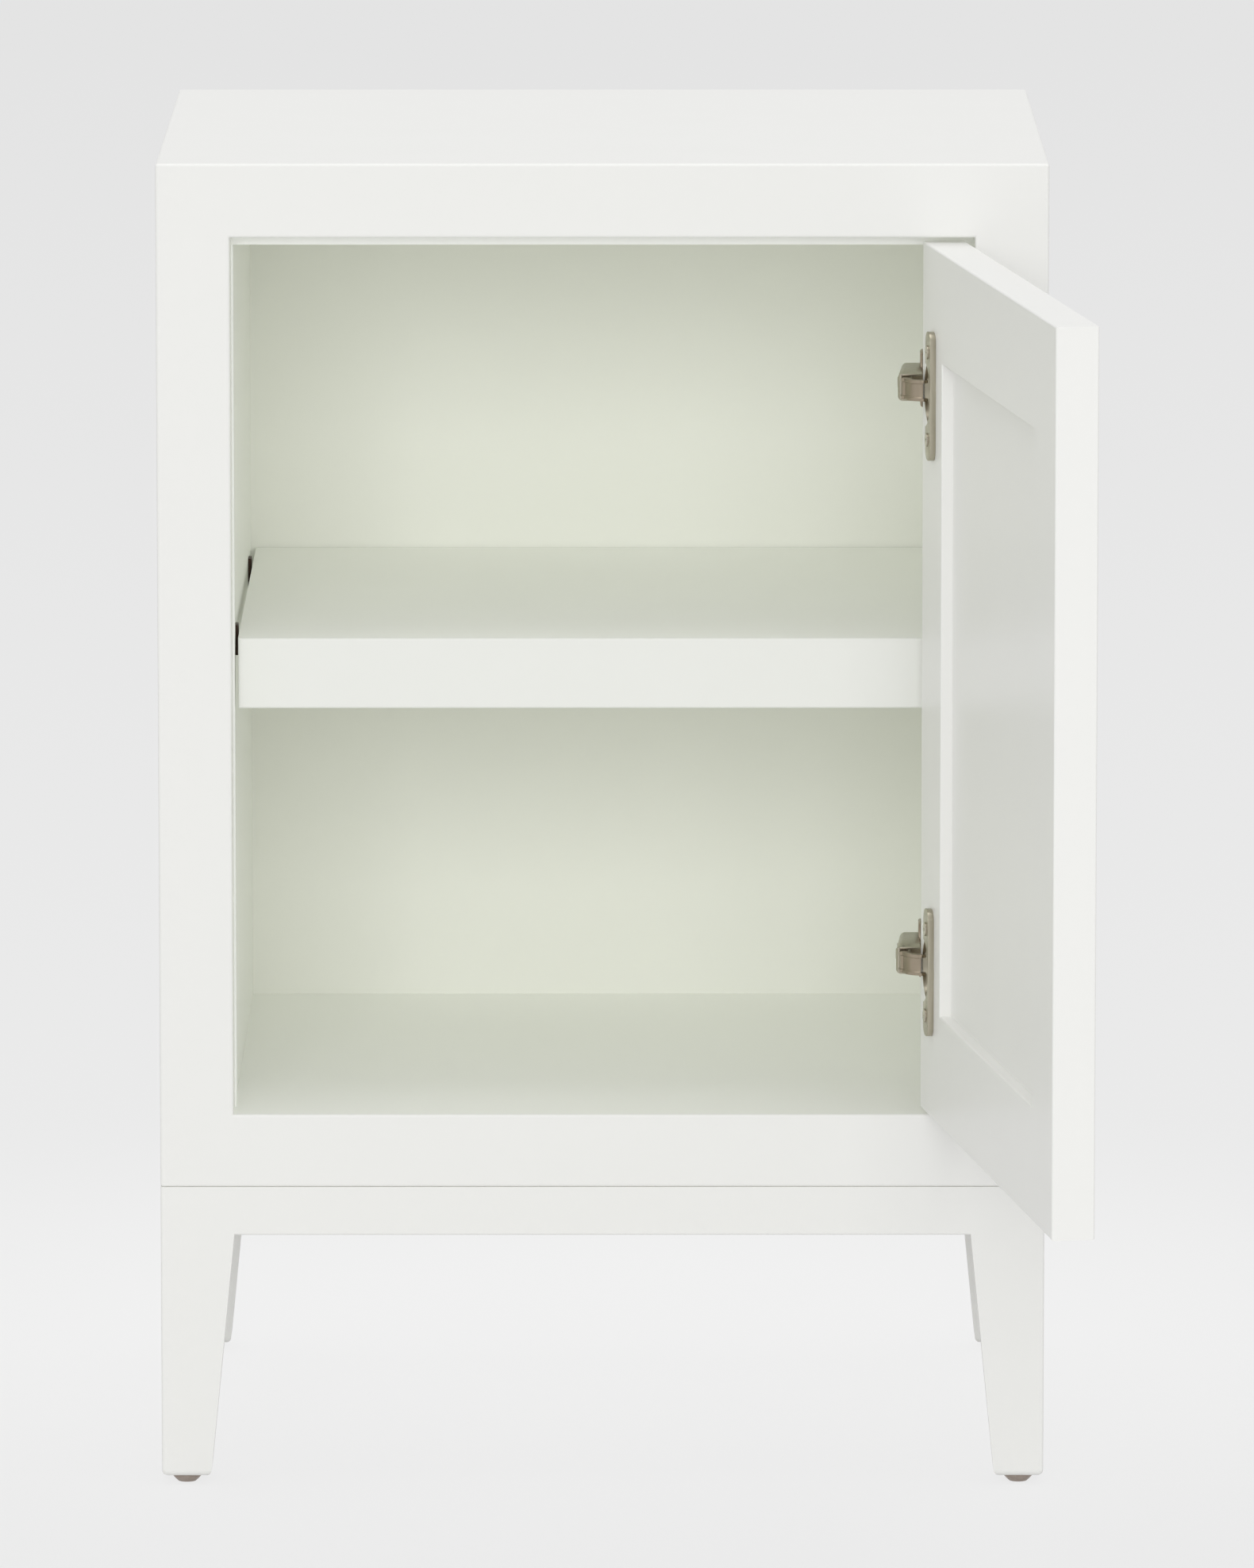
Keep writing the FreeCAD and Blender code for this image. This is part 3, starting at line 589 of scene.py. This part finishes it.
@dataclass
class Woodwork:
    """The frame's wooden solids, which keep their shape and get their finish."""

    outside: tuple[str, ...] = ("case_top", "case_bottom", "case_left_side", "case_right_side",
                                "base_front_rail", "base_back_rail", "base_left_rail", "base_right_rail",
                                "leg_front_left", "leg_front_right", "leg_back_left", "leg_back_right")
    # the inner pieces, which take the inside coat with its painted light
    inside: tuple[str, ...] = ("top_door_stop", "latch_side_door_stop", "shelf_board")
    back: tuple[str, ...] = ("back_panel",)
    shelf_edge: tuple[str, ...] = ("shelf_front_edge",)
    door: tuple[str, ...] = ("door_hinge_stile", "door_latch_stile", "door_top_rail", "door_bottom_rail",
                             "door_panel")
    unpainted: tuple[str, ...] = ("base_corner_blocks",)

    def dress(self) -> None:
        """Gives each solid its finish."""
        for coat, names in ((Coat.CASE, self.outside), (Coat.INSIDE, self.inside), (Coat.BACK, self.back),
                            (Coat.SHELF, self.shelf_edge), (Coat.DOOR, self.door),
                            (Coat.PINE, self.unpainted)):
            for name in names:
                paint_piece(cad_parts[name], coat)
                LOG.info("%s: frame solid, %s", name, coat.name.lower())


@dataclass
class ShelfSupports:
    """The bent brown supports in the gaps at the shelf's ends."""

    edge_mm: float = 0.35
    places: tuple[str, ...] = ("front_left", "front_right", "back_left", "back_right")

    def build(self) -> None:
        """Makes each support with its bends eased."""
        for place in self.places:
            node = "shelf_support_" + place
            piece = eased_copy(node, "support_" + place, self.edge_mm)
            finish_piece(piece, Coat.BROWN, "case", [node])


@dataclass
class Glides:
    """Flat nail-on glides with a sloped rim, one under each leg."""

    radius_mm: float = 7.2
    height_mm: float = 4.5
    slope_mm: float = 2.5
    slope_profile: float = 0.27
    foot_mm: float = 12.7
    half_width_mm: float = 228.5
    half_depth_mm: float = 190.5
    stem_radius_mm: float = 2.2
    stem_mm: float = 18.0
    sides: int = 48

    def one(self) -> bpy.types.Object:
        """Models one glide on its nail.

        Returns:
            The glide, standing on the floor at the origin.
        """
        deselect()
        bpy.ops.mesh.primitive_cylinder_add(vertices=self.sides, radius=self.radius_mm * MM,
                                            depth=self.height_mm * MM,
                                            location=(0, 0, self.height_mm * MM / 2))
        glide = bpy.context.object
        apply_place(glide)
        with editing(glide, facing_down):
            bpy.ops.mesh.bevel(offset=self.slope_mm * MM, segments=2, profile=self.slope_profile,
                               affect="EDGES")
        with editing(glide, facing_up):
            bpy.ops.mesh.inset(thickness=(self.radius_mm - self.stem_radius_mm) * MM)
            bpy.ops.mesh.extrude_region_move(TRANSFORM_OT_translate={"value": (0, 0, self.stem_mm * MM)})
        smooth(glide, 40.0)
        return glide

    def build(self) -> None:
        """Sets a glide under each leg."""
        pattern = self.one()
        copies = []
        for side in (-1, 1):
            for end in (-1, 1):
                glide = twin(pattern.data, "glide")
                glide.location = (side * (self.half_width_mm - self.foot_mm) * MM,
                                  end * (self.half_depth_mm - self.foot_mm) * MM, 0)
                copies.append(glide)
        bpy.data.objects.remove(pattern)
        finish_piece(join(copies, "glides"), Coat.GLIDE, "case", ["leg_glides"])


@dataclass
class Hinges:
    """The two concealed hinges: cups on the door, arms and plates on the case, links between."""

    sides: tuple[str, ...] = ("upper", "lower")
    edge_mm: dict[str, float] = field(default_factory=lambda: {"hinge_cup": 0.5, "hinge_plate": 0.3,
                                                               "outer_link": 0.25, "inner_link": 0.3,
                                                               "hinge_rivets": 0.2})
    # lit and shaded copies of one nickel: painted lighter on the cups, painted darker on the plates and
    # links
    coats: dict[str, Coat] = field(default_factory=lambda: {"hinge_cup": Coat.FLANGE_PAINTED_LIGHTER,
                                                            "hinge_plate": Coat.LINK,
                                                            "outer_link": Coat.LINK,
                                                            "inner_link": Coat.LINK})
    web_outward: tuple[float, float, float] = (-0.8, -0.6, 0)
    web_facing: float = 0.75
    web_mm: float = 10.5
    web_shift_mm: float = 1.1
    panel_half_mm: float = 3.3
    rib_slope_mm: float = 0.5
    press_mm: float = 0.55
    arm_sheet_mm: float = 1.2
    arm_bend_mm: float = 2.6
    arm_edge_mm: float = 0.3
    arm_crank_mm: float = 3.0
    open_facing: float = 0.99
    tongue_drop_mm: float = 3.3

    def body_of(self, side: str, part: str) -> str:
        """Finds the frame body that a part of a hinge rides on.

        Args:
            side: which hinge.
            part: which of its parts.

        Returns:
            The name of the body.
        """
        if part == "hinge_cup":
            return "door"
        return "%s_%s_body" % (side, part) if part.endswith("_link") else "case"

    def press_web(self, link: bpy.types.Object) -> None:
        """Spreads an outer link's web to its arm, and presses a channel that leaves a rib above and below.

        Args:
            link: the outer link.
        """
        heights = [corner[2] for corner in link.bound_box]
        middle = (min(heights) + max(heights)) / 2
        near = max(corner[1] for corner in link.bound_box) - self.web_mm * MM

        def on_web(place: Vector, normal: Vector) -> bool:
            """Wants the outer face of the web, between its ribs."""
            return (abs(place.z - middle) < self.panel_half_mm * MM
                    and normal.dot(Vector(self.web_outward)) > self.web_facing)

        with editing(link, lambda place, normal: place.y > near and on_web(place, normal)):
            bpy.ops.transform.translate(value=(-self.web_shift_mm * MM, 0, 0))
        for reach in (self.panel_half_mm, self.panel_half_mm + self.rib_slope_mm):
            for side in (-1, 1):
                with editing(link, anywhere):
                    bpy.ops.mesh.bisect(plane_co=(0, 0, middle + side * reach * MM), plane_no=(0, 0, 1))
        with editing(link, on_web):
            bpy.ops.transform.shrink_fatten(value=-self.press_mm * MM)

    def lower_tongue(self, plate: bpy.types.Object) -> None:
        """Lowers the tongue of a mounting plate under the slope of its arm.

        Args:
            plate: the mounting plate.
        """
        low = min(corner[0] for corner in plate.bound_box)
        with editing(plate, lambda place, normal: place.x < low + TOUCH and normal.x < -FACING):
            bpy.ops.transform.translate(value=(self.tongue_drop_mm * MM, 0, 0))

    def arm(self, side: str) -> None:
        """Folds an arm from a box: rounded bends, open at the front, the rear and the case side.

        Args:
            side: which hinge.
        """
        node = side + "_hinge_arm"
        low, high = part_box(node)
        deselect()
        bpy.ops.mesh.primitive_cube_add(size=1, location=(low + high) / 2)
        piece = bpy.context.object
        piece.name = piece.data.name = node + "_stamping"
        piece.scale = high - low
        apply_place(piece)
        with editing(piece, lambda place, normal: place.x < low.x + TOUCH and place.y > high.y - TOUCH,
                     Pick.CORNERS):
            bpy.ops.transform.translate(value=(self.arm_crank_mm * MM, 0, 0))
        with editing(piece, lambda place, normal: normal.x < -FACING):
            bpy.ops.mesh.bevel(offset=self.arm_bend_mm * MM, segments=6, affect="EDGES")
        with editing(piece, lambda place, normal: max(abs(normal.y), normal.x) > self.open_facing):
            bpy.ops.mesh.delete(type="FACE")
        activate(piece)
        wall = piece.modifiers.new("wall", "SOLIDIFY")
        wall.thickness = self.arm_sheet_mm * MM
        wall.offset = -1
        wall.use_even_offset = True
        bpy.ops.object.modifier_apply(modifier=wall.name)
        bevel_edges(piece, self.arm_edge_mm)
        smooth(piece)
        finish_piece(piece, Coat.NICKEL, "case", [node])

    def build(self) -> None:
        """Makes each stamping of both hinges."""
        forms = {"outer_link": self.press_web, "hinge_plate": self.lower_tongue}
        for side in self.sides:
            self.arm(side)
            for part, width in self.edge_mm.items():
                node = "%s_%s" % (side, part)
                piece = eased_copy(node, node + "_stamping", width, forms.get(part))
                finish_piece(piece, self.coats.get(part, Coat.NICKEL), self.body_of(side, part),
                             [node])


@dataclass
class ScrewSet:
    """The screws of one frame node, each turned by a step more than the one before.

    The height is that of their heads in the frame, where they are plain cylinders.
    """

    node: str
    screw: CrossScrew
    height_mm: float
    outward: Vector
    body: str
    count: int = 4
    first_turn: float = 17.0
    next_turn: float = 53.0

    def solids(self) -> list[list[Vector]]:
        """Parts the node's mesh into its separate solids.

        Returns:
            The corners of each screw.
        """
        mesh = bmesh.new()
        mesh.from_mesh(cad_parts[self.node].data)
        bmesh.ops.remove_doubles(mesh, verts=mesh.verts, dist=MERGE)
        left, groups = set(mesh.verts), []
        while left:
            stack, found = [left.pop()], []
            while stack:
                vertex = stack.pop()
                found.append(vertex.co.copy())
                for edge in vertex.link_edges:
                    other = edge.other_vert(vertex)
                    if other in left:
                        left.discard(other)
                        stack.append(other)
            groups.append(found)
        mesh.free()
        if len(groups) != self.count:
            raise RuntimeError("%s holds %d screws, not %d" % (self.node, len(groups), self.count))
        return groups

    def spots(self) -> list[Spot]:
        """Finds where the screws stand.

        Returns:
            The spot of each screw.
        """
        seats = []
        for found in self.solids():
            top = max(point.dot(self.outward) for point in found)
            crown = [point for point in found if point.dot(self.outward) > top - TOUCH / 10]
            low, high = (Vector(tuple(end(point[axis] for point in crown) for axis in range(3)))
                         for end in (min, max))
            seats.append((low + high) / 2 - self.outward * self.height_mm * MM)
        seats.sort(key=lambda seat: tuple(round(value, 5) for value in seat))
        return [(seat, self.outward, self.first_turn + self.next_turn * index)
                for index, seat in enumerate(seats)]

    def build(self) -> None:
        """Puts finished screws in place of the plain ones."""
        finish_piece(self.screw.place(self.spots(), "cross_" + self.node), Coat.SCREW, self.body,
                     [self.node])


class ArmScrewSet(ScrewSet):
    """The screws of the arms, which stand on the slope of their arms."""

    def spots(self) -> list[Spot]:
        """Moves and turns the spots from the frame's straight arms.

        Returns:
            The spot of each screw.
        """
        low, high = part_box("upper_hinge_arm")
        slope = Hinges.arm_crank_mm * MM / (high.y - low.y)
        turn = Matrix.Rotation(-math.atan(slope), 3, "Z")
        return [(seat + Vector(((seat.y - low.y) * slope, 0, 0)), turn @ way, angle)
                for seat, way, angle in super().spots()]


@dataclass
class Screws:
    """All the screws: those of the frame, and those that the frame leaves out."""

    door_open: float = 98.5
    panel_inset_mm: float = 5.0
    panel_shank_mm: float = 20.0
    panel_turn: float = 31.0
    panel_turn_step: float = 40.0
    panel_middle_turn: float = 12.0
    block_inset_mm: float = 28.0
    block_shank_mm: float = 33.0
    block_turn: float = 25.0
    block_turn_step: float = 10.0

    def panel(self) -> None:
        """Adds the screws that hold the back panel: one at each corner and one in each side."""
        low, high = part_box("back_panel")
        across, up = ((high[axis] - low[axis]) / 2 - self.panel_inset_mm * MM for axis in (0, 2))
        middle = (low.z + high.z) / 2
        rear = Vector((0, 1, 0))
        spots = [(Vector((side * across, high.y, middle + share * up)), rear,
                  self.panel_turn + self.panel_turn_step * share)
                 for side in (-1, 1) for share in (-1.0, 0.0, 1.0)]
        spots += [(Vector((0, high.y, middle + side * up)), rear, self.panel_middle_turn * side)
                  for side in (-1, 1)]
        finish_piece(CrossScrew(shank_mm=self.panel_shank_mm).place(spots, "back_panel_cross_screws"),
                     Coat.SCREW, "case")

    def base(self) -> None:
        """Adds the screws that hold the base to the case, one up through each corner block."""
        low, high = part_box("base_corner_blocks")
        inset = self.block_inset_mm * MM
        spots = [(Vector((side * (high.x - inset), end * (high.y - inset), low.z)), Vector((0, 0, -1)),
                  self.block_turn * side + self.block_turn_step * end)
                 for side in (-1, 1) for end in (-1, 1)]
        finish_piece(CrossScrew(shank_mm=self.block_shank_mm).place(spots, "base_cross_screws"),
                     Coat.SCREW, "case")

    def build(self) -> None:
        """Makes each set of screws."""
        turn = math.radians(self.door_open)
        door_out = Vector((-math.sin(turn), math.cos(turn), 0))
        inward = Vector((-1, 0, 0))
        low_head = CrossScrew(head_height_mm=0.9, recess_mm=3.4, depth_mm=0.75, form=Head.FLAT)
        adjuster = CrossScrew(head_radius_mm=2.8, head_height_mm=0.9, shank_radius_mm=1.6, shank_mm=8.0,
                              recess_mm=3.2, blade_mm=0.7, depth_mm=0.7, form=Head.FLAT)
        ScrewSet("cup_screws", low_head, 1.6, door_out, "door").build()
        ScrewSet("hinge_plate_screws", CrossScrew(), 1.6, inward, "case").build()
        ArmScrewSet("hinge_arm_screws", adjuster, 0.9, inward, "case").build()
        self.panel()
        self.base()


# Studio and camera

@dataclass(frozen=True)
class Softbox:
    """A large soft white lamp, in metres and watts.

    One that is not mirrored lights the table and leaves no image of itself in a glossy surface.
    """

    name: str
    spot: tuple[float, float, float]
    target: tuple[float, float, float]
    size: tuple[float, float]
    power: float
    mirrored: bool = True

    def build(self) -> None:
        """Adds the lamp."""
        data = bpy.data.lights.new(self.name, "AREA")
        data.shape = "RECTANGLE"
        data.size, data.size_y = self.size
        data.energy = self.power
        lamp = bpy.data.objects.new(self.name, data)
        bpy.context.scene.collection.objects.link(lamp)
        lamp.location = self.spot
        lamp.rotation_euler = (Vector(self.target) - Vector(self.spot)).to_track_quat("-Z", "Y").to_euler()
        lamp.visible_glossy = self.mirrored


@dataclass
class Studio:
    """Pale floor and backdrop, and soft light.

    The floor's glow carries a painted pool of light round the table and painted shade that darkens it far
    behind. It glows to the camera and takes the table's shadow on the share of plain paint under that glow.
    """

    # painted light and shade: the glow's bright pool round the table, its rim, and its darker far end
    painted_pool_light_colour: str = "F6F6F6"
    painted_pool_rim_colour: str = "EEEEEE"
    painted_far_shade_colour: str = "E9E9E9"
    paint_colour: str = "E4E4E4"
    glow_share: float = 0.88
    painted_pool_centre_m: tuple[float, float, float] = (0.0, 0.25, 0.0)
    painted_pool_radii_m: tuple[float, float] = (0.1, 0.75)
    painted_shade_far_m: float = 7.5
    floor_half_m: float = 30.0
    world_colour: str = "FFFFFF"
    world_strength: float = 0.605
    world_shown: float = 0.86
    bounces: int = 10
    lamps: tuple[Softbox, ...] = (
        Softbox("front_softbox", (0.0, -9.5, 2.6), (0, 0, 0.45), (5.0, 3.5), 286.0, mirrored=False),
        Softbox("glint_softbox", (-1.6, -6.4, 2.3), (0, 0, 0.45), (1.0, 1.0), 13.0),
        Softbox("top_softbox", (0.0, 0.1, 3.6), (0, 0, 0.3), (3.4, 3.0), 33.5))

    def shown(self, tree: bpy.types.NodeTree) -> bpy.types.NodeSocket:
        """Picks out the rays that show the background.

        Args:
            tree: the node tree that asks.

        Returns:
            1 for a ray from the camera, or mirrored or passed on by a piece, and 0 for the rest.
        """
        seen = add_node(tree, "ShaderNodeLightPath")
        shown = seen.outputs["Is Camera Ray"]
        for ray in ("Is Glossy Ray", "Is Transmission Ray"):
            shown = add_node(tree, "ShaderNodeMath", {"operation": "MAXIMUM"},
                             {0: shown, 1: seen.outputs[ray]}).outputs[0]
        return shown

    def floor(self) -> None:
        """Makes the floor."""
        deselect()
        bpy.ops.mesh.primitive_plane_add(size=2 * self.floor_half_m, location=(0, 0, 0))
        floor = bpy.context.object
        floor.name = "studio_floor_with_painted_pool"
        apply_place(floor)
        material = bpy.data.materials.new("studio_floor_with_painted_pool")
        material.use_nodes = True
        tree = material.node_tree
        tree.nodes.clear()
        place = add_node(tree, "ShaderNodeTexCoord").outputs["Object"]
        parts = add_node(tree, "ShaderNodeSeparateXYZ", inputs={"Vector": place})
        # painted shade: the glow darkens towards far behind the table
        painted_far_shade_share = add_node(tree, "ShaderNodeMapRange",
                          inputs={"Value": parts.outputs["Y"], "From Min": 0.0, "From Max": self.painted_shade_far_m})
        # painted light: a brighter pool of glow round the table
        away = add_node(tree, "ShaderNodeVectorMath", {"operation": "DISTANCE"},
                        {0: place, 1: self.painted_pool_centre_m})
        start, end = self.painted_pool_radii_m
        edge = add_node(tree, "ShaderNodeMapRange", {"interpolation_type": "SMOOTHSTEP"},
                        {"Value": away.outputs["Value"], "From Min": start, "From Max": end})
        near = add_node(tree, "ShaderNodeMix", {"data_type": "RGBA"},
                        {"Factor": edge.outputs["Result"], "A": linear(self.painted_pool_light_colour),
                         "B": linear(self.painted_pool_rim_colour)})
        colour = add_node(tree, "ShaderNodeMix", {"data_type": "RGBA"},
                          {"Factor": painted_far_shade_share.outputs["Result"], "A": near.outputs["Result"],
                           "B": linear(self.painted_far_shade_colour)})
        paint = add_node(tree, "ShaderNodeBsdfDiffuse", inputs={"Color": linear(self.paint_colour)})
        glow = add_node(tree, "ShaderNodeEmission", inputs={"Color": colour.outputs["Result"]})
        share = add_node(tree, "ShaderNodeMath", {"operation": "MULTIPLY"},
                         {0: self.shown(tree), 1: self.glow_share})
        mixed = add_node(tree, "ShaderNodeMixShader",
                         inputs={0: share.outputs[0], 1: paint.outputs[0], 2: glow.outputs[0]})
        add_node(tree, "ShaderNodeOutputMaterial", inputs={"Surface": mixed.outputs[0]})
        floor.data.materials.append(material)

    def world(self) -> None:
        """Sets an even pale surround."""
        world = bpy.data.worlds.new("studio_surround")
        bpy.context.scene.world = world
        world.use_nodes = True
        tree = world.node_tree
        tree.nodes.clear()
        strength = add_node(tree, "ShaderNodeMapRange",
                            inputs={"Value": self.shown(tree), "To Min": self.world_strength,
                                    "To Max": self.world_shown})
        glow = add_node(tree, "ShaderNodeBackground", inputs={"Color": linear(self.world_colour),
                                                              "Strength": strength.outputs["Result"]})
        add_node(tree, "ShaderNodeOutputWorld", inputs={"Surface": glow.outputs[0]})

    def build(self) -> None:
        """Sets up the studio."""
        self.floor()
        self.world()
        for lamp in self.lamps:
            lamp.build()
        bpy.context.scene.view_settings.view_transform = "Standard"
        bpy.context.scene.cycles.diffuse_bounces = self.bounces


@dataclass
class PhotoCamera:
    """The photograph's long-lens view from the front and a little above."""

    focal_px: float = 16535.5
    long_side_px: float = 1975.0
    sensor_mm: float = 36.0
    spot_mm: tuple[float, float, float] = (4.25, -6863.0, 1395.6)
    down_degrees: float = 8.758
    right_degrees: float = 0.072
    sight_m: float = 100.0

    def build(self) -> None:
        """Adds the camera."""
        data = bpy.data.cameras.new("photo_camera")
        data.sensor_width = self.sensor_mm
        data.lens = self.focal_px * self.sensor_mm / self.long_side_px
        data.clip_end = self.sight_m
        camera = bpy.data.objects.new("photo_camera", data)
        bpy.context.scene.collection.objects.link(camera)
        camera.location = Vector(self.spot_mm) * MM
        camera.rotation_euler = (math.radians(90 - self.down_degrees), 0, math.radians(-self.right_degrees))
        bpy.context.scene.camera = camera


def main() -> None:
    """Dresses the table and sets the scene."""
    logging.basicConfig(level=logging.INFO, format="%(name)s %(message)s")
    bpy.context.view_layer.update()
    for coat in Coat:
        MATERIALS[coat] = coat.value.build()
    Woodwork().dress()
    ShelfSupports().build()
    Glides().build()
    Hinges().build()
    Screws().build()
    Studio().build()
    PhotoCamera().build()


if __name__ == "__main__":
    main()
